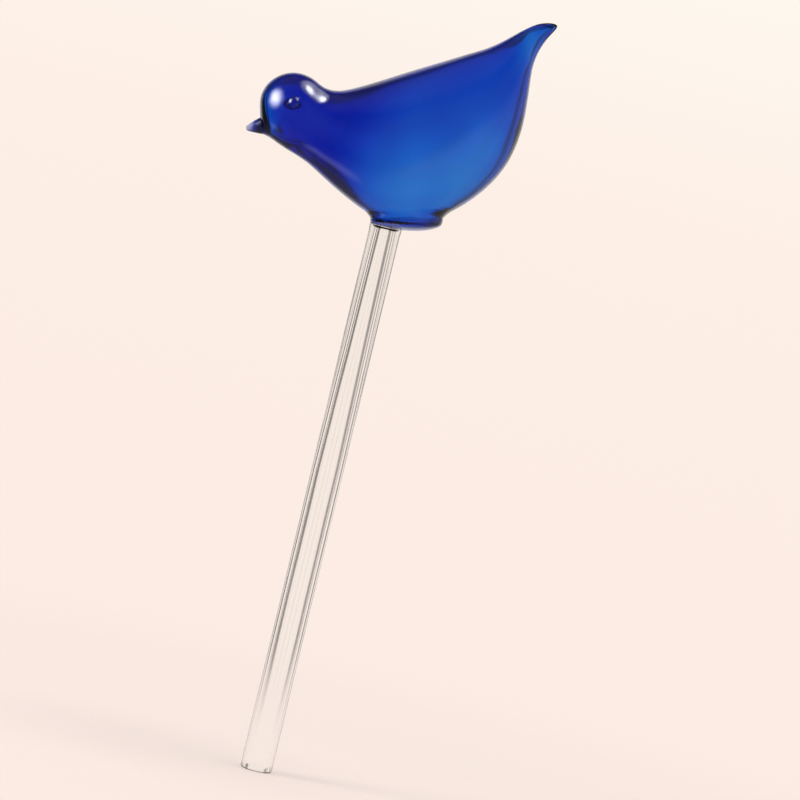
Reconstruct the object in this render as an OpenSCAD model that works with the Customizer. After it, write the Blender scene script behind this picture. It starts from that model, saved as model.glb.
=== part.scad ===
// Blown-glass watering globe in the form of a bird on a hollow glass stem.
// The stem stands along Z with its axis through the origin, and z = 0 is the depth it is pushed in to.
// The bird looks toward -X and is mirror-symmetric across Y.

/* [Stem] */
// Length of stem that shows when it is pushed in
stem_above = 118; // [80:1:160]
// Length of stem that is pushed in
stem_below = 57; // [30:1:80]
// Outer diameter of the tube
stem_d = 10; // [9:0.5:10]
// Bore of the lower, even part of the tube
bore_d = 7; // [6:0.25:7.5]
// Narrowest bore, just under the weld
neck_d = 4.8; // [4.4:0.1:5.4]
// Mouth that the bore opens into through the foot of the bird
mouth_d = 6.2; // [5.8:0.1:6.6]
// Length over which the bore narrows toward the weld
taper_length = 80; // [40:5:80]

/* [Bird] */
// Length of the glass body, from the root of the beak to the tip of the tail
body_length = 93; // [90:1:110]
// Widest part of the body, across the wings
body_width = 41; // [34:1:46]
// Diameter of the ball of the head
head_d = 21.5; // [19:0.5:23]
// Thickness of the blown wall
wall = 1.8; // [1.2:0.1:2.2]
// How far the bird's level line leans from a right angle with the stem, in degrees
lean = 13.5; // [10:0.5:15]

/* [Face] */
// Length of the beak
beak_length = 4.9; // [3:0.1:7]
// Diameter of a bead eye
eye_d = 4; // [3:0.25:5]

/* [Hidden] */

stem_r = stem_d / 2;
bore_r = bore_d / 2;
neck_r = neck_d / 2;
mouth_r = mouth_d / 2;
lip_r = (stem_r - bore_r) / 2;
// How far below the weld the bore starts to open, and where it has its full mouth
flare_from = 4;
flare_to = 1;

// The bird is drawn in its own level frame: its origin is the middle of the weld,
// x runs toward the tail, z up. These stations are for a body 93 mm long.
drawn_length = 93;
drawn_width = 41;
drawn_head = 21.5;
stretch = body_length / drawn_length;
widen = body_width / drawn_width;

// Middle of the head, and where on its circle the first stations lie, in degrees from the tail side
head_mid = [-28.9, 37.3] * stretch;
crown_angles = [198, 160, 125, 90, 58];

// Throat points and half widths that go with the crown angles: [x, z, half width]
throat = [
    [-38.2, 28.8, 2.6],
    [-36.0, 27.6, 7.4],
    [-33.4, 25.7, 9.9],
    [-30.3, 23.7, 10.7],
    [-27.0, 21.7, 10.9]
];

// From the nape to the tail: [back x, back z, belly x, belly z, half width]
trunk = [
    [-19.4, 43.3, -23.5, 19.1, 11.4],
    [-14.6, 42.1, -18.6, 14.5, 13.2],
    [-7.6, 43.6, -12.3, 9.1, 16.4],
    [1.0, 46.2, -4.0, 3.3, 19.5],
    [11.0, 49.3, 7.0, 1.2, 20.5],
    [19.5, 51.8, 19.0, 3.9, 19.6],
    [26.0, 53.8, 29.5, 10.4, 17.4],
    [31.2, 55.3, 37.6, 19.0, 14.5],
    [35.4, 57.1, 42.3, 29.7, 11.3],
    [39.2, 59.1, 44.3, 40.5, 8.2],
    [43.4, 61.4, 45.9, 50.8, 5.0],
    [48.6, 63.3, 49.8, 58.0, 2.7],
    [53.9, 62.5, 53.9, 62.5, 0]
];

// Low hollow foot under the belly, from the fillet down to the weld, which is square with the stem:
// [middle x, radius, middle z, share of the lean that the ring has taken up,
//  how many walls in and how many walls up its ring on the inside lies]
foot_rings = [
    [6.5, 11.9, 3.8, 0, 1.0, 0.33],
    [6.5, 11.4, 3.0, 0, 0.95, 0.25],
    [6.4, 11.3, 2.0, 0.15, 0.95, 0.4],
    [6.1, 11.0, 1.0, 0.3, 1.0, 0.7],
    [5.1, 10.0, 0.45, 0.5, 1.0, 0.8],
    [3.2, 8.15, 0.1, 0.75, 1.0, 0.8]
];
foot_floor = 0.8 * wall;

// Stations 7 2/3 to 10 1/3 and 40 degrees each way round make the patch that the foot takes up
steps = 3;
sides = 36;
patch_first = 23;
patch_last = 31;
patch_half = 4;
patch_count = 4 * (patch_last - patch_first);
foot_station = 9;
weld_shift = -0.42;

// Where the cavity closes inside the head and inside the tail, and over how many stations
cavity_front = 1.0;
cavity_back = 16.1;
cavity_front_round = 1.7;
cavity_back_round = 2.2;

// The tail is drawn out thin: between these stations its wall loses this share
thin_from = 12;
thin_to = 15.5;
thin_share = 0.4;

eye_place = [-28.5, 38.4] * stretch;
eye_station = 3.3;
eye_tilt = 12;
eye_sink = 0.55;
beak_tip_r = 0.55;

function head_point(a) = head_mid + head_d / 2 * [cos(a), sin(a)];

function crown_station(i) = let(p = head_point(crown_angles[i]), q = throat[i] * stretch)
    [p.x, p.y, q.x, q.y, throat[i].z * head_d / drawn_head];

function trunk_station(s) =
    [s[0] * stretch, s[1] * stretch, s[2] * stretch, s[3] * stretch, s[4] * widen];

stations = concat(
    [for (i = [0:len(throat) - 1]) crown_station(i)],
    [for (s = trunk) trunk_station(s)]
);
last = len(stations) - 1;

// Past the tip of the tail the back line runs on as the belly line, so the tip comes out round
function past_tip(s) = [s[2], s[3], s[0], s[1], -s[4]];

function station_at(i) =
    i < 0 ? 2 * stations[0] - stations[1] :
    i > last ? past_tip(stations[2 * last - i]) :
    stations[i];

// Catmull-Rom curve through the stations, at place t counted in stations
function section(t) =
    let(
        i = min(floor(t), last - 1),
        f = t - i,
        a = station_at(i - 1),
        b = station_at(i),
        c = station_at(i + 1),
        d = station_at(i + 2)
    )
    b + f / 2 * (c - a + f * (2 * a - 5 * b + 4 * c - d + f * (3 * (b - c) + d - a)));

// A point of an upright oval between a back point and a belly point, a round it from the belly in degrees
function oval_point(back, belly, wide, a) =
    let(middle = (back + belly) / 2, up = (back - belly) / 2)
    [middle.x - up.x * cos(a), wide * sin(a), middle.y - up.y * cos(a)];

// The outside of the glass: t along the body, a round it
function skin(t, a) = let(s = section(t)) oval_point([s[0], s[1]], [s[2], s[3]], s[4], a);

function round_end(u) = u >= 1 ? 1 : sqrt(1 - pow(1 - u, 2));

function wall_at(t) =
    wall * (1 - thin_share * min(max((t - thin_from) / (thin_to - thin_from), 0), 1));

function left_of(d) = [-d.y, d.x] / norm(d);

// The inside of the glass: its back and belly lines lie one wall in, square to the lines outside
function cavity(t, a) =
    let(
        s = section(t),
        d = section(t + 0.05) - section(t - 0.05),
        w = wall_at(t),
        draw = round_end((t - cavity_front) / cavity_front_round)
            * round_end((cavity_back - t) / cavity_back_round),
        back = [s[0], s[1]] - w * left_of([d[0], d[1]]),
        belly = [s[2], s[3]] + w * left_of([d[2], d[3]]),
        middle = (back + belly) / 2
    )
    oval_point(middle + (back - middle) * draw, middle + (belly - middle) * draw, (s[4] - w) * draw, a);

function middle_of(t) = let(s = section(t)) [(s[0] + s[2]) / 2, 0, (s[1] + s[3]) / 2];

// A tilted circle under the belly, with as many points as the patch has round its edge
function turn(k) = 225 - 360 * k / patch_count;
function ring(x, r, z, slope) = [for (k = [0:patch_count - 1]) [
    x + r * cos(turn(k)) * cos(slope),
    r * sin(turn(k)),
    z - r * cos(turn(k)) * sin(slope)
]];

// A ring square with the stem, at a height along it above the weld
function stem_ring(r, height) = ring(height * sin(lean), r, height * cos(lean), lean);

// A ring of the foot, set in and lifted by a number of walls
function foot_ring(f, in, up) =
    ring(f[0] * stretch, f[1] * stretch - in * wall, f[2] * stretch + up * wall, f[3] * lean);

// An oval on the skin (depth 0) or on the cavity's floor (depth 1), of a share f of the patch,
// which shifts from the middle of the foot toward the stem as it shrinks
function oval(f, depth) = [for (k = [0:patch_count - 1])
    let(
        half = (patch_last - patch_first) / steps / 2,
        t = foot_station + half * (weld_shift * (1 - f) + f * cos(turn(k))),
        a = 360 / sides * patch_half * f * sin(turn(k))
    )
    depth == 0 ? skin(t, a) : cavity(t, a)
];

// Grid place of point k round the edge of the patch: [ring, side]
function patch_place(k) =
    let(n = patch_last - patch_first, side = floor(k / n), m = k - side * n)
    side == 0 ? [patch_first, -patch_half + m] :
    side == 1 ? [patch_first + m, patch_half] :
    side == 2 ? [patch_last, patch_half - m] :
    [patch_last - m, -patch_half];

function in_patch(i, j) =
    i >= patch_first && i < patch_last && (j < patch_half || j >= sides - patch_half);

// Faces of a tube of rings first..last_ring whose points start at base, and the strip between two loops
function grid_index(base, first, i, j) = base + (i - first) * sides + (j + sides) % sides;
function grid_faces(base, first, last_ring) = [
    for (i = [first:last_ring - 1])
        for (j = [0:sides - 1])
            if (!in_patch(i, j))
                let(
                    a = grid_index(base, first, i, j),
                    b = grid_index(base, first, i, j + 1),
                    c = grid_index(base, first, i + 1, j + 1),
                    d = grid_index(base, first, i + 1, j)
                )
                for (face = [[c, b, a], [d, c, a]]) face
];
function strip_faces(from, to) = [
    for (k = [0:patch_count - 1])
        let(n = (k + 1) % patch_count)
        for (face = [[to[n], from[n], from[k]], [to[k], to[n], from[k]]]) face
];
function fan_faces(pole, base) = [for (j = [0:sides - 1]) [pole, base + (j + 1) % sides, base + j]];
function flipped(faces) = [for (f = faces) [f[2], f[1], f[0]]];
function loop_index(base, number) = [for (k = [0:patch_count - 1]) base + number * patch_count + k];

// One closed skin: the outside, the foot and its bore, and the cavity in a single sheet of faces
module blown_shell() {
    rings = last * steps;
    hollow_first = ceil(cavity_front * steps) + 1;
    hollow_last = floor(cavity_back * steps);
    outside = [for (i = [0:rings - 1]) for (j = [0:sides - 1]) skin(i / steps, j * 360 / sides)];
    inside = [for (i = [hollow_first:hollow_last]) for (j = [0:sides - 1])
        cavity(i / steps, j * 360 / sides)];
    poles = [
        middle_of(0),
        [stations[last][0], 0, stations[last][1]],
        middle_of(cavity_front),
        middle_of(cavity_back)
    ];
    loops = concat(
        [oval(0.93, 0)],
        [for (f = foot_rings) foot_ring(f, 0, 0)],
        [stem_ring(stem_r, 0), stem_ring(mouth_r, 0), stem_ring(mouth_r, foot_floor)],
        [for (n = [len(foot_rings) - 1:-1:0]) foot_ring(foot_rings[n], foot_rings[n][4], foot_rings[n][5])],
        [oval(0.93, 1)]
    );
    inside_base = len(outside);
    pole_base = inside_base + len(inside);
    loop_base = pole_base + len(poles);
    places = [for (k = [0:patch_count - 1]) patch_place(k)];
    outer_edge = [for (p = places) grid_index(0, 0, p[0], p[1])];
    inner_edge = [for (p = places) grid_index(inside_base, hollow_first, p[0], p[1])];
    chain = concat(
        [outer_edge],
        [for (n = [0:len(loops) - 1]) loop_index(loop_base, n)],
        [inner_edge]
    );
    polyhedron(
        points = concat(outside, inside, poles, [for (l = loops) each l]),
        faces = concat(
            grid_faces(0, 0, rings - 1),
            flipped(fan_faces(pole_base, 0)),
            fan_faces(pole_base + 1, inside_base - sides),
            flipped(grid_faces(inside_base, hollow_first, hollow_last)),
            fan_faces(pole_base + 2, inside_base),
            flipped(fan_faces(pole_base + 3, pole_base - sides)),
            [for (n = [0:len(chain) - 2]) each strip_faces(chain[n], chain[n + 1])]
        ),
        convexity = 6
    );
}

// Puts what is drawn in the bird's level frame on top of the stem
module on_stem() {
    translate([0, 0, stem_above]) rotate([0, -lean, 0]) children();
}

module bird_body() {
    color([0.12, 0.22, 0.72]) on_stem() blown_shell();
}

// Solid drawn-out tip, as wide at its root as the flat on the face that it is fused to
module beak() {
    s = stations[0];
    root = [(s[0] + s[2]) / 2, 0, (s[1] + s[3]) / 2];
    root_r = norm([s[0] - s[2], s[1] - s[3]]) / 2;
    tilt = atan2(s[2] - s[0], s[1] - s[3]);
    color([0.72, 0.78, 0.9]) on_stem()
        translate(root)
            rotate([0, -90 - tilt, 0])
                rotate_extrude($fn = 48)
                    polygon(concat(
                        [[0, 0]],
                        [for (u = [0:0.125:0.875]) [
                            beak_tip_r + (root_r - beak_tip_r) * pow(1 - u, 0.8),
                            u * (beak_length - beak_tip_r)
                        ]],
                        [for (a = [0:22.5:90]) [
                            beak_tip_r * cos(a),
                            beak_length - beak_tip_r + beak_tip_r * sin(a)
                        ]]
                    ));
}

// Bead of glass laid on the side of the head, flat where it is fused on
module bead_eye(side) {
    depth = eye_d / 2;
    seat = skin(eye_station, 90)[1] - eye_sink;
    color([0.16, 0.3, 0.85]) on_stem()
        translate([eye_place.x, side * seat, eye_place.y])
            rotate([side * (eye_tilt - 90), 0, 0])
                intersection() {
                    sphere(d = eye_d, $fn = 48);
                    cylinder(h = depth + 1, r = depth + 1, $fn = 48);
                }
}

module eye_left() { bead_eye(-1); }

module eye_right() { bead_eye(1); }

// Thick-walled tube with a fire-polished lower lip. Its bore narrows toward the weld and opens again into the foot
module stem() {
    lip_z = lip_r - stem_below;
    color([0.85, 0.88, 0.88]) rotate_extrude($fn = 72)
        polygon(concat(
            [for (a = [0:15:180]) [
                stem_r - lip_r + lip_r * cos(a),
                lip_z - lip_r * sin(a)
            ]],
            [
                [bore_r, stem_above - taper_length],
                [neck_r, stem_above - flare_from],
                [mouth_r, stem_above - flare_to],
                [mouth_r, stem_above],
                [stem_r, stem_above]
            ]
        ));
}

bird_body();
beak();
eye_left();
eye_right();
stem();
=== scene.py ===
# %% [markdown]
# # A blown-glass watering bird
#
# The object is a watering globe: a hollow bird of cobalt-blue glass on a stem of clear tube. It is filled
# through the stem, turned over and pushed in to a third of the stem. Everything on it is glass, so this
# lesson is about glass: how thick it is, how smooth it is, and what it has to reflect and bend. The
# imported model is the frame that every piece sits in.

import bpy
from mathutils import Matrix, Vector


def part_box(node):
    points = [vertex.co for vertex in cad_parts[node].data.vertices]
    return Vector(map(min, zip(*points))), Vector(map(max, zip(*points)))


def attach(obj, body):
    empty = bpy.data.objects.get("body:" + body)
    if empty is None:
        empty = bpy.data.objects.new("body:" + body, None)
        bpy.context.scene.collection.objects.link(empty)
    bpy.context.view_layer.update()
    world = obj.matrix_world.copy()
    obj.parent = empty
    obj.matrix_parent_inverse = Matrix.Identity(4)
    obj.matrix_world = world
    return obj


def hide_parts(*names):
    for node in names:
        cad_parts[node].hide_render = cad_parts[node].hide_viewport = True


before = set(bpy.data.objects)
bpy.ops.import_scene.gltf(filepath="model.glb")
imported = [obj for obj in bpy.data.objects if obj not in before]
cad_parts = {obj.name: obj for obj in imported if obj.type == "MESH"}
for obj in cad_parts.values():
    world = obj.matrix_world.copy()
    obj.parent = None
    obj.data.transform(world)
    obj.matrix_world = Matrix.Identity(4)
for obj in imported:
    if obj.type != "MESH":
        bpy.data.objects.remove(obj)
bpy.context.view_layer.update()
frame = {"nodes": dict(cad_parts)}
print("nodes:", ", ".join(frame["nodes"]))

# %% Tools from Blender and the units
from math import cos, pi, radians, sin

import bmesh
import bpy
import numpy as np
from mathutils import Matrix, Quaternion, Vector, noise

MM = 0.001
stem_low, stem_high = (np.array(corner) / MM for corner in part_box("stem"))
stem_r = stem_high[0]
weld_z = stem_high[2]
print(f"stem {stem_r:.2f} mm in radius, welded at {weld_z:.1f} mm")

# %% [markdown]
# ## The curve of the body
#
# A glass blower draws the bird out of one hot bubble, so its form is one smooth tube that swells and
# shrinks: round head, neck, deep belly, and a tail pulled up to a point. It could be sculpted or
# subdivided from a box, but a loft is closer to the way it is made. Each station has a point on the back,
# a point on the belly and a half width. Round the head the back points lie on a circle. The stations are
# in the bird's own level frame, in millimetres from the weld, and are the same as the part's own.

# %% Stations from head to tail
lean = radians(13.5)
head_mid = np.array([-28.9, 37.3])
head_r = 10.75
crown_angles = (198, 160, 125, 90, 58)
throat = (
    (-38.2, 28.8, 2.6),
    (-36.0, 27.6, 7.4),
    (-33.4, 25.7, 9.9),
    (-30.3, 23.7, 10.7),
    (-27.0, 21.7, 10.9),
)
trunk = (
    (-19.4, 43.3, -23.5, 19.1, 11.4),
    (-14.6, 42.1, -18.6, 14.5, 13.2),
    (-7.6, 43.6, -12.3, 9.1, 16.4),
    (1.0, 46.2, -4.0, 3.3, 19.5),
    (11.0, 49.3, 7.0, 1.2, 20.5),
    (19.5, 51.8, 19.0, 3.9, 19.6),
    (26.0, 53.8, 29.5, 10.4, 17.4),
    (31.2, 55.3, 37.6, 19.0, 14.5),
    (35.4, 57.1, 42.3, 29.7, 11.3),
    (39.2, 59.1, 44.3, 40.5, 8.2),
    (43.4, 61.4, 45.9, 50.8, 5.0),
    (48.6, 63.3, 49.8, 58.0, 2.7),
    (53.9, 62.5, 53.9, 62.5, 0.0),
)
crown = [head_mid + head_r * np.array([cos(radians(a)), sin(radians(a))]) for a in crown_angles]
stations = np.array([(*p, *q) for p, q in zip(crown, throat)] + list(trunk))
last = len(stations) - 1
print(last + 1, "stations")

# %% [markdown]
# Straight pieces between stations would show as bands in the glass, because glass bends light by its
# slope. So the stations are joined by a curve, sampled finely, and then relaxed: each sample moves toward
# the mean of its neighbours, as soft glass does under its own surface tension. Past the tip of the tail
# the back line runs on as the belly line, which is what keeps the tip round.

# %% A smooth spine
PER_STATION = 8


def curve(a, b, c, d, f):
    """The place a share f of the way from b to c, on a smooth curve through a, b, c and d."""
    return b + f / 2 * (c - a + f * (2 * a - 5 * b + 4 * c - d + f * (3 * (b - c) + d - a)))


def past_tip(s):
    """A station past the tip: the back and belly change places."""
    return np.array([s[2], s[3], s[0], s[1], -s[4]])


def station_at(i):
    """A station, or the one that would follow past either end."""
    if i < 0:
        return 2 * stations[0] - stations[-i]
    return past_tip(stations[2 * last - i]) if i > last else stations[i]


def raw_section(t):
    """The curve through the stations, before it is relaxed."""
    i = min(int(t), last - 1)
    f = t - i
    return curve(*(station_at(i + n) for n in (-1, 0, 1, 2)), f)


def relaxed(samples, passes):
    """The samples after some rounds of smoothing, with the root of the beak and the round tip kept."""
    for _ in range(passes):
        before = 2 * samples[0] - samples[1]
        after = past_tip(samples[-2])
        wide = np.vstack([before, samples, after])
        samples = wide[1:-1] / 2 + (wide[:-2] + wide[2:]) / 4
        samples[-1][:4] = (samples[-1][:4] + samples[-1][[2, 3, 0, 1]]) / 2
    return samples


SMOOTHINGS = 10
raw_spine = np.array([raw_section(n / PER_STATION) for n in range(last * PER_STATION + 1)])
spine = relaxed(raw_spine, SMOOTHINGS)


def section(t):
    """Back point, belly point and half width at a place t, counted in stations."""
    n = min(max(t * PER_STATION, 0), len(spine) - 1.000001)
    i = int(n)
    return spine[i] + (n - i) * (spine[i + 1] - spine[i])


print(len(spine), "samples along the spine")

# %% [markdown]
# The wall is what gives blue glass its shades. Hand-blown walls are never even. Here the wall is thickest
# at the neck, where the bubble stayed narrow, and thin at the brow, low on the belly and in the drawn-out
# tail. It also carries slow ripples from the breath and the marver. The ripples are shallow, but they are
# what makes the light inside look blown and not machined. Blender's vector noise starts from the clock
# unless it is given a seed, and each run would then blow a slightly different bird, so a seed is set
# before the first ripple.

# %% Skin and wall
WALL = 1.85
BROW_THINNER, NECK_THICKER, BELLY_THINNER, TAIL_THINNER = 0.5, 1.05, 0.85, 0.95


def rise(u, low, high):
    """0 up to low, 1 from high, smooth between."""
    f = min(max((u - low) / (high - low), 0), 1)
    return f * f * (3 - 2 * f)


def skin(t, a):
    """A point of the outside: t along the body, a round it from the belly."""
    s = section(t)
    middle, up = (s[:2] + s[2:4]) / 2, (s[:2] - s[2:4]) / 2
    x, z = middle - up * cos(a)
    return np.array([x, s[4] * sin(a), z])


def wall_at(t, a):
    """Thickness of the glass: t along the body, a round it from the belly."""
    neck = rise(t, 1, 3.5) * (1 - rise(t, 5.5, 9))
    tail = rise(t, 13, 16.3)
    belly = rise(t, 5.2, 7.6) * (1 - rise(t, 10.5, 14.5))
    low = rise(cos(a), -0.5, 0.75)
    brow = 1 - rise(t, 0.5, 3)
    return (WALL - BROW_THINNER * brow + NECK_THICKER * neck
            - BELLY_THINNER * belly * low - TAIL_THINNER * tail)


for where, t, a in (("at the brow", 0, pi), ("at the neck", 4.5, pi), ("low on the belly", 9, 0)):
    print(f"wall {where}: {wall_at(t, a):.2f} mm")

# %% Cavity
SIDES = 96
CAVITY_FRONT, CAVITY_BACK = 0.35, 16.4
FRONT_ROUND, BACK_ROUND = 0.65, 1.6
STEP_T, STEP_A = 1 / PER_STATION, 0.05
RIPPLE_SEED = 1
noise.seed_set(RIPPLE_SEED)


def middle_of(t):
    """The middle of a section, halfway between back and belly."""
    s = section(t)
    return np.array([(s[0] + s[2]) / 2, 0, (s[1] + s[3]) / 2])


def ripple(p, size, depth, seed):
    """The point moved by a smooth random amount, for glass that was never turned on a lathe."""
    return p + depth * np.array(noise.noise_vector(Vector(p / size + seed)))


def cavity(t, a):
    """A point of the inside: one wall in from the skin, square to it."""
    along = skin(t + STEP_T, a) - skin(t - STEP_T, a)
    round_it = skin(t, a + STEP_A) - skin(t, a - STEP_A)
    square = np.cross(along, round_it)
    p = skin(t, a) + wall_at(t, a) * square / np.linalg.norm(square)
    p = ripple(p, size=11.0, depth=0.16, seed=7.0)
    return ripple(p, size=4.0, depth=0.26 * (1 - rise(t, 4, 6.5)), seed=3.0)


def cavity_ring(t, draw):
    """A ring of the inside, drawn in toward its own middle where the cavity closes."""
    points = np.array([cavity(t, 2 * pi * j / SIDES) for j in range(SIDES)])
    middle = points.mean(axis=0)
    return middle + (points - middle) * draw


print(f"cavity from station {CAVITY_FRONT} to {CAVITY_BACK}, {SIDES} points a ring")

# %% [markdown]
# ## Foot, bore and one closed sheet of glass
#
# The outside and the cavity are one surface: it runs over the outside, down the low foot, across the land
# where the stem is welded, up the bore and out over the inside. A boolean would leave a ragged seam
# there, and a seam shows in glass. So a patch is left out of both lofts under the belly, and loops with
# as many points as the patch's edge run from one to the other. Their first loops follow a curve that
# leaves the belly along its own slope: the fillet.

# %% Rings and ovals
PATCH_FIRST, PATCH_LAST, PATCH_HALF = 61, 83, 11
PATCH_EDGE = PATCH_LAST - PATCH_FIRST
PATCH_COUNT = 4 * PATCH_EDGE
FOOT_STATION = 9
WELD_SHIFT = -0.42
turns = [radians(225 - 360 * k / PATCH_COUNT) for k in range(PATCH_COUNT)]


def ring(x, r, z, slope):
    """A loop round a middle, sloped from level."""
    return np.array([(x + r * cos(q) * cos(slope), r * sin(q), z - r * cos(q) * sin(slope)) for q in turns])


def stem_ring(r, height):
    """A ring square with the stem, at a height along it above the weld."""
    return ring(height * sin(lean), r, height * cos(lean), lean)


def oval(f, surface):
    """An oval on a surface, a share f of the patch, that shifts toward the stem as it shrinks."""
    half = PATCH_EDGE / PER_STATION / 2
    widest = 2 * pi / SIDES * PATCH_HALF
    return np.array([surface(FOOT_STATION + half * (WELD_SHIFT * (1 - f) + f * cos(q)), widest * f * sin(q))
                     for q in turns])


print(PATCH_COUNT, "points a loop")


# %% Curves between loops
def arc(start, corner, end, count):
    """Loops along a curve that leaves start toward corner and comes into end from it."""
    return [start * (1 - f) ** 2 + 2 * corner * f * (1 - f) + end * f**2 for f in np.linspace(0, 1, count)]


def through(rings, count):
    """Rings between the given ones, on a curve through them."""
    rows = np.array(rings)
    rows = np.vstack([2 * rows[0] - rows[1], rows, 2 * rows[-1] - rows[-2]])
    made = []
    for i in range(1, len(rows) - 2):
        for f in np.arange(count) / count:
            made.append(curve(*rows[i - 1:i + 3], f))
    return made + [rows[-2]]


FILLET_LOOPS = 7
FILLET_EDGE, FILLET_CORNER = 0.94, 0.83


def foot_part(rings, surface, count):
    """Loops from the edge of the patch on a surface, in along it and down through the rings of the foot."""
    x, r, z, share = rings[0]
    first = ring(x, r, z, share * lean)
    fillet = arc(oval(FILLET_EDGE, surface), oval(FILLET_CORNER, surface), first, FILLET_LOOPS)
    return fillet + [ring(x, r, z, share * lean) for x, r, z, share in through(rings, count)[1:]]


print(FILLET_LOOPS, "loops in each fillet")

# %% [markdown]
# Each row of the two tables below is a ring of the foot: its middle, its radius, its height above the
# weld, and how much of the stem's lean it has taken up. The first table is the outside of the foot. The
# second is its hollow, so that the foot is a wall and not a lump: a solid foot of this glass would look
# black.

# %% Loops from the belly to the cavity
RINGS_BETWEEN = 4
FOOT_FLOOR = 1.25
NECK_R, MOUTH_R, LAND_R = 2.4, 3.1, 4.1
WELD_BEAD, MOUTH_EDGE, MOUTH_LIP = 0.12, 0.12, 0.2
foot_rings = (
    (6.45, 11.35, 2.7, 0.05),
    (6.4, 11.3, 2.0, 0.15),
    (6.1, 11.0, 1.0, 0.3),
    (5.1, 10.0, 0.45, 0.5),
    (3.2, 8.15, 0.1, 0.75),
    (0.9, 5.9, 0.0, 0.95),
)
hollow_rings = (
    (6.45, 10.1, 3.9, 0.05),
    (6.4, 10.0, 3.1, 0.15),
    (6.1, 9.7, 2.25, 0.3),
    (5.1, 8.75, 1.65, 0.5),
    (3.2, 6.9, 1.3, 0.75),
    (0.7, 4.8, 1.2, 0.95),
)
bore_profile = (
    (stem_r + WELD_BEAD, 0.02),
    (stem_r, 0.0),
    (LAND_R, 0.0),
    (MOUTH_R + MOUTH_EDGE, 0.0),
    (MOUTH_R, MOUTH_EDGE),
    (MOUTH_R, FOOT_FLOOR - MOUTH_LIP),
    (MOUTH_R + MOUTH_LIP, FOOT_FLOOR),
)
foot_loops = foot_part(foot_rings, skin, RINGS_BETWEEN)
bore_loops = [stem_ring(r, h) for r, h in bore_profile]
floor_loops = foot_part(hollow_rings, cavity, RINGS_BETWEEN)[::-1]
loops = foot_loops + bore_loops + floor_loops
print(len(loops), "loops from the belly to the floor of the cavity")

# %% [markdown]
# The rings of the outside and of the cavity are laid first, as rows of points. Where the cavity closes,
# at the brow and at the tail, its rings shrink as the rings of a dome do. The faces come after: two lofts
# with a patch left out of each, the four closed ends, and the loops between the two patches.


# %% Points of the two lofts
def sheet_of(rings):
    """Points of a loft: one row of SIDES points a ring."""
    return np.array(rings).reshape(-1, 3)


def outer_ring(t):
    """A ring of the outside, with the faintest of ripples."""
    return [ripple(skin(t, 2 * pi * j / SIDES), size=14.0, depth=0.05, seed=1.0) for j in range(SIDES)]


outer_t = [n / PER_STATION for n in range(last * PER_STATION)]
outside = sheet_of([outer_ring(t) for t in outer_t])

CAP_STEP = 9
cap = [radians(d) for d in range(CAP_STEP, 90, CAP_STEP)]
first_full = round((CAVITY_FRONT + FRONT_ROUND) * PER_STATION)
last_full = int((CAVITY_BACK - BACK_ROUND) * PER_STATION)
inner_t = [(CAVITY_FRONT + FRONT_ROUND * (1 - cos(q)), sin(q)) for q in cap]
patch_shift = len(inner_t) - first_full
inner_t += [(n / PER_STATION, 1.0) for n in range(first_full, last_full + 1)]
inner_t += [(CAVITY_BACK - BACK_ROUND * (1 - cos(q)), sin(q)) for q in reversed(cap)]
inside = sheet_of([cavity_ring(t, draw) for t, draw in inner_t])
print(len(outside), "points outside and", len(inside), "inside")


# %% Faces of the lofts
def patch_place(k, shift):
    """Row and side of point k on the edge of the patch."""
    side, m = divmod(k, PATCH_EDGE)
    row, column = ((PATCH_FIRST, m - PATCH_HALF), (PATCH_FIRST + m, PATCH_HALF),
                   (PATCH_LAST, PATCH_HALF - m), (PATCH_LAST - m, -PATCH_HALF))[side]
    return (row + shift) * SIDES + column % SIDES


def loft_faces(rows, shift):
    """Quads of a loft, less those of the patch."""
    faces = []
    for i in range(rows - 1):
        for j in range(SIDES):
            in_patch = PATCH_FIRST <= i - shift < PATCH_LAST and (j < PATCH_HALF or j >= SIDES - PATCH_HALF)
            if not in_patch:
                n = (j + 1) % SIDES
                faces.append((i * SIDES + j, (i + 1) * SIDES + j, (i + 1) * SIDES + n, i * SIDES + n))
    return faces


print(len(loft_faces(len(outer_t), 0)), "quads outside")


# %% The blown shell
def in_level_frame(points):
    """From the bird's level frame to the frame of the part, in metres."""
    x, y, z = np.asarray(points).reshape(-1, 3).T
    return np.column_stack([x * cos(lean) - z * sin(lean), y, x * sin(lean) + z * cos(lean) + weld_z]) * MM


def blown_shell():
    """Points and faces of the whole bird: outside, foot, bore and cavity."""
    poles = [middle_of(0), middle_of(last), cavity_ring(CAVITY_FRONT, 0)[0], cavity_ring(CAVITY_BACK, 0)[0]]
    base = len(outside)
    pole = base + len(inside)
    loop = pole + len(poles)
    points = np.vstack([outside, inside, poles] + loops)
    faces = [tuple(reversed(f)) for f in loft_faces(len(outer_t), 0)]
    faces += [tuple(base + i for i in f) for f in loft_faces(len(inner_t), patch_shift)]
    tail_row, inner_tail = base - SIDES, pole - SIDES
    for j in range(SIDES):
        n = (j + 1) % SIDES
        faces += [(pole, n, j), (pole + 1, tail_row + j, tail_row + n)]
        faces += [(pole + 2, base + j, base + n), (pole + 3, inner_tail + n, inner_tail + j)]
    rows = [[patch_place(k, 0) for k in range(PATCH_COUNT)]]
    rows += [[loop + n * PATCH_COUNT + k for k in range(PATCH_COUNT)] for n in range(len(loops))]
    rows += [[base + patch_place(k, patch_shift) for k in range(PATCH_COUNT)]]
    for a, b in zip(rows, rows[1:]):
        for k in range(PATCH_COUNT):
            n = (k + 1) % PATCH_COUNT
            faces.append((a[k], a[n], b[n], b[k]))
    return in_level_frame(points), faces


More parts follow.
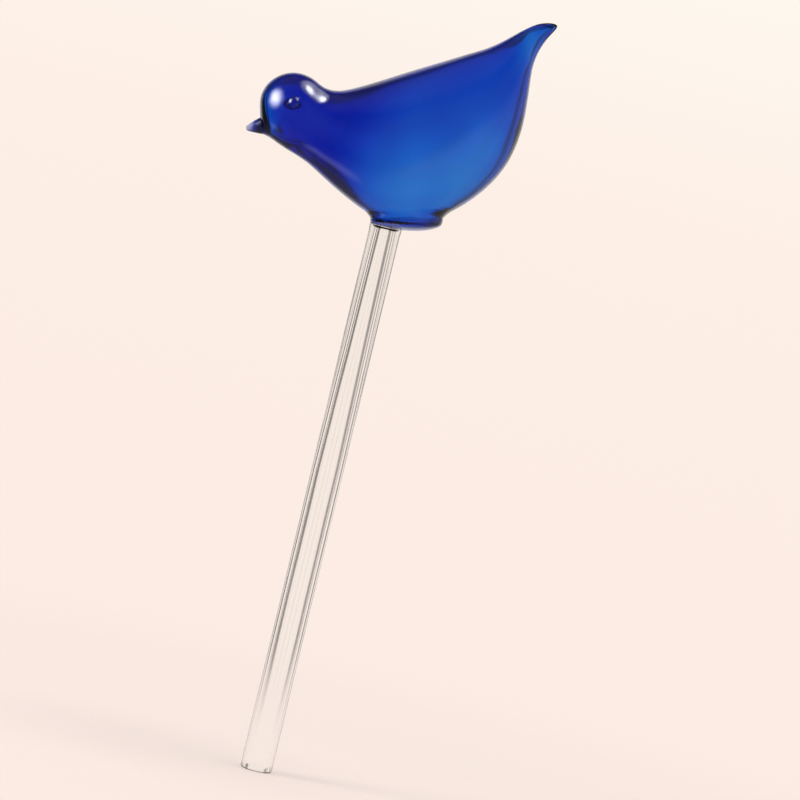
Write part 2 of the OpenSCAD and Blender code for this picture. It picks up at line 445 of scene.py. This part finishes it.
def piece(name, points, faces, sharp=40):
    """A new object from points in metres and faces, with smooth shading that stops at sharp edges."""
    mesh = bpy.data.meshes.new(name)
    mesh.from_pydata([tuple(p) for p in points], [], faces)
    mesh.validate()
    mesh.shade_smooth()
    mesh.set_sharp_from_angle(angle=radians(sharp))
    made = bpy.data.objects.new(name, mesh)
    bpy.context.scene.collection.objects.link(made)
    check = bmesh.new()
    check.from_mesh(mesh)
    loose = sum(not e.is_contiguous for e in check.edges)
    volume = check.calc_volume(signed=True) / MM**3
    print(f"{name}: {len(mesh.polygons)} faces, {loose} bad edges, {volume:.0f} mm3")
    check.free()
    return made


bird = piece("bird_shell", *blown_shell())

# %% [markdown]
# ## Beak, eyes and stem
#
# The beak and the eyes are hot drops of glass touched onto the head. A drop pulled off a rod leaves a
# cone with a soft point, so the beak is a loft of rings round its own axis. Each eye is a bead that
# flattened as it landed: wide at its foot, where it melted into the wall. Each piece is sunk a little
# into the glass that carries it. If two glass faces only touched, light would see a thin gap of air
# between them and turn the joint into a mirror.

# %% The beak on the front of the head
SINK = 0.06


def turned(profile, sides, place, wobble=0.0, seed=0.0):
    """A closed round piece: its profile of places along an axis and radii, turned and put in place."""
    points = []
    for along, r in profile[1:-1]:
        for j in range(sides):
            a = 2 * pi * j / sides
            swell = 1 + wobble * noise.noise(Vector((3 * cos(a), 3 * sin(a), along / 2 + seed)))
            points.append(place(along, r * swell * cos(a), r * swell * sin(a)))
    rings = len(profile) - 2
    points += [place(profile[0][0], 0, 0), place(profile[-1][0], 0, 0)]
    start, end = rings * sides, rings * sides + 1
    faces = []
    for i in range(rings - 1):
        for j in range(sides):
            n = (j + 1) % sides
            faces.append((i * sides + j, i * sides + n, (i + 1) * sides + n, (i + 1) * sides + j))
    for j in range(sides):
        n = (j + 1) % sides
        faces += [(start, n, j), (end, (rings - 1) * sides + j, (rings - 1) * sides + n)]
    return np.array(points), faces


front = section(0)
across_root = front[:2] - front[2:4]
root_r = np.hypot(*across_root) / 2
up = across_root / np.hypot(*across_root)
out = np.array([-up[1], up[0]])
root = (front[:2] + front[2:4]) / 2
BEAK_LENGTH, BEAK_TIP = 4.9, 0.55
beak_profile = [(-SINK, 0.0), (-SINK, root_r * 0.6), (-SINK, root_r * 0.97)]
for u in np.linspace(0, 0.9, 16):
    beak_profile.append((u * BEAK_LENGTH, BEAK_TIP + (root_r - BEAK_TIP) * (1 - u) ** 0.8))
tip_start = beak_profile[-1]
for q in np.radians(np.arange(15, 90, 15)):
    beak_profile.append((tip_start[0] + (BEAK_LENGTH - tip_start[0]) * sin(q), tip_start[1] * cos(q)))
beak_profile.append((BEAK_LENGTH, 0.0))


def on_head(along, across, lift):
    """A point of the beak, measured from its root."""
    x, z = root + out * along + up * lift
    return np.array([x, across, z])


beak_points, beak_faces = turned(beak_profile, 40, on_head, 0.05, 4.0)
beak = piece("beak_tip", in_level_frame(beak_points), [f[::-1] for f in beak_faces])

# %% The two bead eyes
EYE_X, EYE_Z, EYE_R, EYE_STATION = -28.5, 38.4, 2.0, 3.3
eye_tilt = radians(12)
EYE_HEIGHT, EYE_SUNK = 1.55, 0.35
eye_profile = [(-0.5, 0.0), (-0.5, 0.9), (-0.42, 1.7)]
eye_profile += [(EYE_HEIGHT * sin(q), EYE_R * cos(q) ** 0.85) for q in np.radians(np.arange(0, 88, 8))]
eye_profile.append((EYE_HEIGHT, 0.0))


def head_side():
    """Half width of the head at the eye's height."""
    s = section(EYE_STATION)
    middle, half = (s[1] + s[3]) / 2, (s[1] - s[3]) / 2
    return s[4] * (1 - ((EYE_Z - middle) / half) ** 2) ** 0.5


def eye_bead(name, side):
    """One eye: side is -1 for the bird's left and 1 for its right."""
    seat = head_side() - EYE_SUNK

    def place(along, a, b):
        outward = side * (seat + along * cos(eye_tilt) - b * sin(eye_tilt))
        return np.array([EYE_X + a, outward, EYE_Z + b * cos(eye_tilt) + along * sin(eye_tilt)])

    points, faces = turned(eye_profile, 32, place, 0.05, side)
    return piece(name, in_level_frame(points), faces if side < 0 else [f[::-1] for f in faces])


eyes = [eye_bead("eye_bead_left", -1), eye_bead("eye_bead_right", 1)]

# %% [markdown]
# The stem is bought as drawn tube, so it is straight and round, and only its ends have been in the flame.
# The lower lip is rounded by melting. Toward the weld the bore narrows, where the wall thickened as the
# glass was pushed together, and it opens again to meet the mouth of the foot. One closed strip of rings
# makes outside, lip, bore and top. A trace of waviness, too small to measure by eye, keeps its highlights
# from looking ruled.

# %% The drawn tube
BORE_R, TAPER_FROM = 3.5, 80
FLARE_FROM, FLARE_TO = 0.9, 0.1
WELD_SWELL = 2.2
STREAK, WAVE = 0.02, 0.05
low = stem_low[2]


def bore_at(z):
    """Radius of the bore: even, then narrowing, then opening into the foot."""
    narrowing = (z - weld_z + TAPER_FROM) / (TAPER_FROM - FLARE_FROM)
    opened = (MOUTH_R - NECK_R) * rise(z, weld_z - FLARE_FROM, weld_z - FLARE_TO)
    return BORE_R - (BORE_R - NECK_R) * min(max(narrowing, 0), 1) + opened


def tube_piece():
    """The stem: outside, rounded lip, bore and the end that is fused to the foot."""
    sides = 96
    lip = (stem_r - BORE_R) / 2
    plain = np.arange(low + lip, weld_z - 5, 2.5)
    top = np.linspace(weld_z - WELD_SWELL, weld_z + SINK, 20)
    heights = np.concatenate([plain, top])
    rows = []
    for z in heights:
        rows.append((z, stem_r + WELD_BEAD * rise(z, weld_z - WELD_SWELL, weld_z - 0.4), 1.0))
    for z in reversed(heights):
        rows.append((z, bore_at(z), 2.0))
    for q in np.radians(np.arange(20, 180, 20)):
        rows.append((low + lip - lip * sin(q), (stem_r + BORE_R) / 2 - lip * cos(q), 1.5))
    points = []
    for z, r, seed in rows:
        for j in range(sides):
            a = 2 * pi * j / sides
            streak = noise.noise(Vector((2.5 * cos(a), 2.5 * sin(a), 5 * seed + z / 150)))
            wave = noise.noise(Vector((0.8 * cos(a), 0.8 * sin(a), z / 25 + 9 * seed)))
            grown = r + STREAK * streak + WAVE * wave * (1 - rise(z, weld_z - 3, weld_z - 1))
            points.append((grown * cos(a), grown * sin(a), z))
    count = len(rows)
    faces = []
    for i in range(count):
        for j in range(sides):
            n = (j + 1) % sides
            k = (i + 1) % count
            faces.append((i * sides + j, i * sides + n, k * sides + n, k * sides + j))
    return np.array(points) * MM, faces


stem = piece("stem_tube", *tube_piece(), sharp=50)

# %% [markdown]
# ## Glass
#
# Blue glass isn't blue on its surface: the colour is in the wall, so thick glass is darker. A tint on the
# surface would give one flat blue. So the surface is clear and polished, and an absorption inside the
# wall takes out red first, then green. One wall of it lets through about a quarter of the green and three
# quarters of the blue. The small class here lets a material be written as arithmetic.


# %% A class for shader maths
class Link:
    """A socket of a node tree that can be calculated with."""

    def __init__(self, tree, socket=None):
        self.tree = tree
        self.socket = socket

    def node(self, kind, settings=(), inputs=(), out=0):
        """A new node: its settings first, then the values or links of its sockets."""
        made = self.tree.nodes.new(kind)
        for name, value in dict(settings).items():
            if name == "stops":
                ramp = made.color_ramp.elements
                while len(ramp) < len(value):
                    ramp.new(1.0)
                for element, (place, colour) in zip(ramp, value):
                    element.position = place
                    element.color = (*colour, 1)
            else:
                setattr(made, name, value)
        for name, value in dict(inputs).items():
            if isinstance(value, Link):
                self.tree.links.new(value.socket, made.inputs[name])
            else:
                made.inputs[name].default_value = value
        return Link(self.tree, made.outputs[out] if made.outputs else None)

    def math(self, operation, a, b=0.0):
        return self.node("ShaderNodeMath", {"operation": operation}, {0: a, 1: b})

    def __add__(self, other):
        return self.math("ADD", self, other)

    __radd__ = __add__

    def __sub__(self, other):
        return self.math("SUBTRACT", self, other)

    def __rsub__(self, other):
        return self.math("SUBTRACT", other, self)

    def __mul__(self, other):
        return self.math("MULTIPLY", self, other)

    __rmul__ = __mul__

    def __truediv__(self, other):
        return self.math("DIVIDE", self, other)

    def __pow__(self, other):
        return self.math("POWER", self, other)

    def step(self, low, high):
        """0 below low and 1 above high, smooth between."""
        settings = {"interpolation_type": "SMOOTHSTEP"}
        return self.node("ShaderNodeMapRange", settings, {0: self, 1: low, 2: high, 3: 0.0, 4: 1.0})

    def mix(self, a, b):
        """Colour a where this is 0 and colour b where it is 1."""
        return self.node("ShaderNodeMix", {"data_type": "RGBA"}, {0: self, 6: a, 7: b}, 2)


def rgb(red, green, blue):
    """A colour as a screen shows it, 0 to 255, turned into light."""
    parts = [c / 255 for c in (red, green, blue)]
    return tuple(c / 12.92 if c < 0.04045 else ((c + 0.055) / 1.055) ** 2.4 for c in parts) + (1,)


def new_material(name):
    """An empty material and a Link that starts its nodes."""
    made = bpy.data.materials.new(name)
    made.use_nodes = True
    made.node_tree.nodes.clear()
    return made, Link(made.node_tree)


print(f"the grey 128 of a screen is {rgb(128, 128, 128)[0]:.3f} of full light")

# %% [markdown]
# All three glasses come from one recipe: a clear polished surface, slow waves that bend the highlights by
# a hair, a film of faint smears that dulls the gloss in patches, and the colour inside. The tube is drawn
# lengthwise, so its waves are long along the stem and narrow round it. The beads take a weaker blue than
# the wall, because light has the whole drop to go through and would be lost in the strong one.

# %% Clear surface, coloured inside
GLASS_IOR, POLISH = 1.5, 0.004


def glass(name, waves, depth, smear, inside):
    """Polished glass: slow waves of a depth in metres, faint smears, and a colour and density inside."""
    made, start = new_material(name)
    place = start.node("ShaderNodeTexCoord", out=3)
    drawn = start.node("ShaderNodeMapping", {}, {"Vector": place, "Scale": waves})
    slow = {"Vector": drawn, "Scale": 1.0, "Detail": 3.0, "Roughness": 0.45}
    ripples = start.node("ShaderNodeTexNoise", {}, slow)
    film = start.node("ShaderNodeTexNoise", {}, {"Vector": drawn, "Scale": 2.3, "Detail": 5.0})
    bump = start.node("ShaderNodeBump", {}, {"Height": ripples, "Strength": 1.0, "Distance": depth})
    surface = start.node("ShaderNodeBsdfPrincipled", {}, {
        "Base Color": (1, 1, 1, 1),
        "Roughness": POLISH + smear * film.step(0.5, 0.75),
        "Transmission Weight": 1.0,
        "IOR": GLASS_IOR,
        "Normal": bump,
    })
    colour, density = inside
    tint = start.node("ShaderNodeVolumeAbsorption", {}, {"Color": (*colour, 1), "Density": density})
    start.node("ShaderNodeOutputMaterial", {}, {"Surface": surface, "Volume": tint})
    passed = np.exp(density * (np.array(colour) - 1) * WALL * MM)
    print(f"{name}: {WALL} mm lets through", ", ".join(f"{share:.0%}" for share in passed))
    return made


cobalt = glass("cobalt_glass", (60, 60, 60), 0.00004, 0.03, inside=((0.0, 0.606, 0.925), 1900))
clear = glass("clear_tube_glass", (260, 260, 14), 0.00003, 0.02, inside=((0.55, 0.62, 0.60), 18))
bead = glass("bead_glass", (300, 300, 300), 0.00002, 0.02, inside=((0.02, 0.45, 0.88), 1000))

# %% [markdown]
# The beak is another glass: milky, pale at its tip and dark at its root, where it meets the blue head.
# Milkiness is light scattered inside, which would be slow to work out for so small a piece, so about half
# of the light is scattered at the surface, and a ramp along the beak carries the colour from tip to root.
# A fine cloud breaks its edges.


# %% Milky tip
def beak_colour(start, place):
    """Pale at the tip, dark at the root, with a cloudy border."""
    x = start.node("ShaderNodeSeparateXYZ", {}, {0: place}, 0)
    tip_x = float(min(v.co.x for v in beak.data.vertices))
    cloud = start.node("ShaderNodeTexNoise", {}, {"Vector": place, "Scale": 900.0, "Detail": 3.0})
    along = (x - tip_x) / (BEAK_LENGTH * MM) + (cloud - 0.5) * 0.25
    stops = [
        (0.0, (0.86, 0.86, 1.0)),
        (0.28, (0.50, 0.50, 0.98)),
        (0.48, (0.05, 0.07, 0.45)),
        (0.8, (0.01, 0.015, 0.08)),
    ]
    return start.node("ShaderNodeValToRGB", {"stops": stops}, {0: along})


milk, milk_start = new_material("pale_glass")
milk_place = milk_start.node("ShaderNodeTexCoord", out=3)
milk_fine = {"Vector": milk_place, "Scale": 700.0, "Detail": 3.0}
milk_cloud = milk_start.node("ShaderNodeTexNoise", {}, milk_fine)
milk_relief = {"Height": milk_cloud, "Strength": 0.6, "Distance": 0.00005}
milk_bump = milk_start.node("ShaderNodeBump", {}, milk_relief)
milk_surface = milk_start.node("ShaderNodeBsdfPrincipled", {}, {
    "Base Color": beak_colour(milk_start, milk_place),
    "Roughness": 0.06 + milk_cloud.step(0.4, 0.7) * 0.05,
    "Transmission Weight": 0.45,
    "IOR": GLASS_IOR,
    "Normal": milk_bump,
})
milk_start.node("ShaderNodeOutputMaterial", {}, {"Surface": milk_surface})
print(milk.name, "has", len(milk.node_tree.nodes), "nodes")

# %% [markdown]
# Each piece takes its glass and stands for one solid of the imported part. Nothing on a fused glass bird
# moves, so all of them ride on the one body.

# %% Dress the pieces
for made, node, material, slot in (
    (bird, "bird_body", cobalt, "blue_glass"),
    (beak, "beak", milk, "pale_glass"),
    (eyes[0], "eye_left", bead, "bead_glass"),
    (eyes[1], "eye_right", bead, "bead_glass"),
    (stem, "stem", clear, "clear_glass"),
):
    made.data.materials.append(material)
    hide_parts(node)
    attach(made, "root")
    print(made.name, "stands for", node)

# %% [markdown]
# ## Light, floor and camera
#
# Glass shows what is around it. Against an even white room a clear tube would vanish, because its edges
# bend the view to the side and would find white there too. So light that passes through glass finds a
# room that is brighter at the right and overhead, with soft bright and less bright bands round it. Light
# that bounces off glass finds a dim room with five soft sheens: overhead, at the right, on the camera's
# side, low on the right and behind the bird. The camera sees only a plain pale backdrop.


# %% The room
def backdrop(start, height):
    """Warm white above and a touch of pink below, by height of the view."""
    stops = [(0.0, rgb(252, 236, 228)[:3]), (0.45, rgb(253, 239, 230)[:3]), (1.0, rgb(255, 252, 243)[:3])]
    return start.node("ShaderNodeValToRGB", {"stops": stops}, {0: height})


def in_room(direction):
    """A direction of the bird's level frame, in the frame of the part."""
    x, y, z = Vector(direction).normalized()
    return Vector((x * cos(lean) - z * sin(lean), y, x * sin(lean) + z * cos(lean)))


def ray_kinds(start):
    """Three tests of a ray: seen by the camera, passed through glass, bounced off it."""
    kinds = ("Is Camera Ray", "Is Transmission Ray", "Is Glossy Ray")
    return [start.node("ShaderNodeLightPath", out=kind) for kind in kinds]


world = bpy.data.worlds.new("room")
world.use_nodes = True
world.node_tree.nodes.clear()
bpy.context.scene.world = world
sky = Link(world.node_tree)
toward = sky.node("ShaderNodeTexCoord", out=0)


def share_of(direction):
    """How far a view points along a direction of the level frame, from -1 to 1."""
    settings = {"operation": "DOT_PRODUCT"}
    return sky.node("ShaderNodeVectorMath", settings, {0: toward, 1: in_room(direction)}, "Value")


right, back, above = (share_of(way) for way in ((1, 0, 0), (0, 1, 0), (0, 0, 1)))
east, north, height = (sky.node("ShaderNodeSeparateXYZ", {}, {0: toward}, n) for n in range(3))

# %% What glass bends into view
BANDS, DIMMEST = 8, 0.16
bands = sky.math("COSINE", sky.math("ARCTAN2", east, north) * BANDS).step(-0.75, 0.0)
level = 1 - sky.math("ABSOLUTE", height).step(0.2, 0.5)
aside = sky.math("MAXIMUM", 0.25 + 0.3 * right + 0.35 * above, DIMMEST)
bright = aside + (1 - aside) * level * bands
room_white = {0: backdrop(sky, 0.45), "Scale": bright}
through_room = sky.node("ShaderNodeVectorMath", {"operation": "SCALE"}, room_white)
print(BANDS, "bands round the room")

# %% What glass reflects
SHEENS = (
    (above, 0.75, 0.97, 0.2),
    (right, 0.4, 0.9, 0.15),
    (0 - back, 0.4, 0.9, 0.17),
    (0.6 * right - above, 0.3, 0.65, 0.32),
    (back, 0.68, 0.93, 0.75),
)
lit = 0.1
for way, faint, full, strength in SHEENS:
    lit = lit + strength * way.step(faint, full)
lamp_white = rgb(248, 244, 240)[:3]
bounced = sky.node("ShaderNodeVectorMath", {"operation": "SCALE"}, {0: lamp_white, "Scale": lit})
print(len(SHEENS), "soft sheens")

# %% The room put together
camera_ray, passing_ray, bouncing_ray = ray_kinds(sky)
ambient = height.step(-0.2, 0.5).mix((0.40, 0.38, 0.37, 1), (0.50, 0.50, 0.51, 1))
seen = bouncing_ray.mix(ambient, bounced)
seen = passing_ray.mix(seen, through_room)
seen = camera_ray.mix(seen, backdrop(sky, height.step(-0.10, 0.12)))
background = sky.node("ShaderNodeBackground", {}, {"Color": seen, "Strength": 1.0})
sky.node("ShaderNodeOutputWorld", {}, {"Surface": background})
print(len(sky.tree.nodes), "nodes in the room")

# %% [markdown]
# The floor is a disc of pale paper under the end of the stem. A real backdrop has no edge, so the disc
# fades out into the room behind it. For the camera it is partly its own light, which gives it the room's
# colour, and partly matte paper, which keeps the shadow. Light that passed through glass or bounced off
# it finds an even tone there. The test for light that passed through comes last, because such light also
# counts as having bounced.

# %% The floor
floor_z = stem_low[2] * MM
FLOOR_R, OWN_LIGHT = 0.5, 0.55
FADE_FROM, FADE_TO = 0.08, 0.42
rim = [(FLOOR_R * cos(radians(a)), FLOOR_R * sin(radians(a)), floor_z) for a in range(0, 360, 5)]
floor = piece("floor", rim, [tuple(range(len(rim)))])
paper, mat = new_material("floor_paper")
ground = mat.node("ShaderNodeTexCoord", out=3)
reach = mat.node("ShaderNodeVectorMath", {"operation": "LENGTH"}, {0: ground}, "Value")
grain = mat.node("ShaderNodeTexNoise", {}, {"Vector": ground, "Scale": 400.0, "Detail": 4.0})
tone = grain.mix(rgb(244, 226, 217), rgb(250, 236, 228))
matte = mat.node("ShaderNodeBsdfPrincipled", {}, {"Base Color": tone, "Roughness": 0.95})
glow = mat.node("ShaderNodeEmission", {}, {"Color": rgb(252, 236, 228), "Strength": 1.0})
bounce = mat.node("ShaderNodeEmission", {}, {"Color": rgb(160, 152, 147), "Strength": 1.0})
camera_ray, passing_ray, bouncing_ray = ray_kinds(mat)
shown = mat.node("ShaderNodeMixShader", {}, {0: camera_ray * OWN_LIGHT, 1: matte, 2: glow})
shown = mat.node("ShaderNodeMixShader", {}, {0: bouncing_ray, 1: shown, 2: bounce})
shown = mat.node("ShaderNodeMixShader", {}, {0: passing_ray, 1: shown, 2: glow})
clear_edge = mat.node("ShaderNodeBsdfTransparent")
faded = mat.node("ShaderNodeMixShader", {}, {0: reach.step(FADE_FROM, FADE_TO), 1: shown, 2: clear_edge})
mat.node("ShaderNodeOutputMaterial", {}, {"Surface": faded})
floor.data.materials.append(paper)

# %% [markdown]
# Two wide lamps stand far off, one high on the left and one nearly overhead. They light the paper and the
# beak and are kept out of the glass. What glass needs is something small and bright to reflect, so a
# photographer puts soft boxes close to it, and each one makes a single highlight where the surface is
# turned right. Here four of them show only in reflections: two on the head and its eye, one at the nape
# and one along the breast. Each fades toward its rim, as a cloth-covered box does, because a hard edge
# would look like a window.


# %% A lamp, and the two wide ones
def facing(place, across, behind):
    """The matrix of a lamp or camera at a place, from its x axis and the axis that points behind it."""
    axes = Matrix((across, behind.cross(across), behind)).transposed()
    return Matrix.Translation(place) @ axes.to_4x4()


def lamp(name, place, aim, size, power, turn=0.0):
    """A lamp that shines toward a point; places and sizes are in mm in the bird's level frame."""
    light = bpy.data.lights.new(name, "AREA")
    light.shape = "ELLIPSE"
    light.size, light.size_y, light.energy = size[0] * MM, size[1] * MM, power
    made = bpy.data.objects.new(name, light)
    at, to = (Vector(in_level_frame([p])[0]) for p in (place, aim))
    behind = (at - to).normalized()
    across = (Vector((0, 1, 0)).cross(behind)).normalized()
    across.rotate(Quaternion(behind, -turn))
    made.matrix_world = facing(at, across, behind)
    made.visible_camera = False
    made.visible_transmission = False
    bpy.context.scene.collection.objects.link(made)
    return made


LAMP_REACH, LAMP_SIZE, LAMP_POWER = 900, 450, 4.0
middle_head = np.array([head_mid[0], 0, head_mid[1]])
for name, way in (("lamp_left", (-0.65, -0.36, 0.67)), ("lamp_above", (0.42, -0.02, 0.91))):
    place = middle_head + LAMP_REACH * np.array(way)
    studio = lamp(name, place, middle_head, (LAMP_SIZE, LAMP_SIZE), LAMP_POWER)
    studio.visible_glossy = False
    print(name, "stands at", place.round(), "mm from the weld")

# %% Four small soft boxes that glass can show
# Each row: name, place, aim, width and height, turn, strength at the middle, and how fast it fades.
GLINTS = (
    ("box_left", (-47.7, -18.8, 52.3), (-12.1, -0.2, 32.8), (50, 40), 1.99, 27.0, 2.0),
    ("box_above", (0.2, -4.2, 93.2), (-25.1, -3.6, 88.1), (80, 98), 0.37, 4.5, 1.0),
    ("box_nape", (-9.0, -11.5, 70.0), (-39.0, -11.5, 67.0), (28, 28), 0.0, 24.0, 1.2),
    ("box_breast", (-157.0, -28.0, -91.0), (-18.0, -10.0, 21.0), (100, 90), 0.0, 0.8, 1.0),
)
for name, place, aim, size, turn, strength, fall in GLINTS:
    one_bright = pi * pi / 4 * size[0] * size[1] * MM**2
    box = lamp(name, place, aim, size, one_bright, turn)
    box.visible_diffuse = False
    box.data.use_nodes = True
    box.data.node_tree.nodes.clear()
    cloth = Link(box.data.node_tree)
    weave = cloth.node("ShaderNodeNewGeometry", out="Parametric")
    centre = {0: weave, 1: (0.5, 0.5, 0.0)}
    off_centre = cloth.node("ShaderNodeVectorMath", {"operation": "DISTANCE"}, centre, "Value")
    glow_here = (1 - off_centre.step(0.0, 0.5)) ** fall * strength
    glare = cloth.node("ShaderNodeEmission", {}, {"Strength": glow_here})
    cloth.node("ShaderNodeOutputLight", {}, {"Surface": glare})
    print(name, "is", " by ".join(map(str, size)), "mm")

# %% [markdown]
# A long lens from well back keeps the bird and the stem free of perspective. The camera looks at the
# bird's left side, and it is rolled by the lean of the stem, so that the bird sits level in the picture
# and the stem leans.

# %% The camera
eye_point = Vector((-30.3, -1420.0, 137.4)) * MM
aim = Vector((16.9, 0.0, 66.4)) * MM
back_axis = (eye_point - aim).normalized()
right_axis = Vector((-sin(lean), 0, cos(lean))).cross(back_axis).normalized()
lens = bpy.data.cameras.new("camera")
lens.lens = 205
lens.clip_start, lens.clip_end = 0.05, 50
camera = bpy.data.objects.new("camera", lens)
camera.matrix_world = facing(eye_point, right_axis, back_axis)
bpy.context.scene.collection.objects.link(camera)
bpy.context.scene.camera = camera
bpy.context.scene.view_settings.view_transform = "Standard"
print(f"camera {(eye_point - aim).length:.2f} m away with a {lens.lens:.0f} mm lens")

# %% [markdown]
# At the end the view layer is brought up to date.

# %% The last line
bpy.context.view_layer.update()
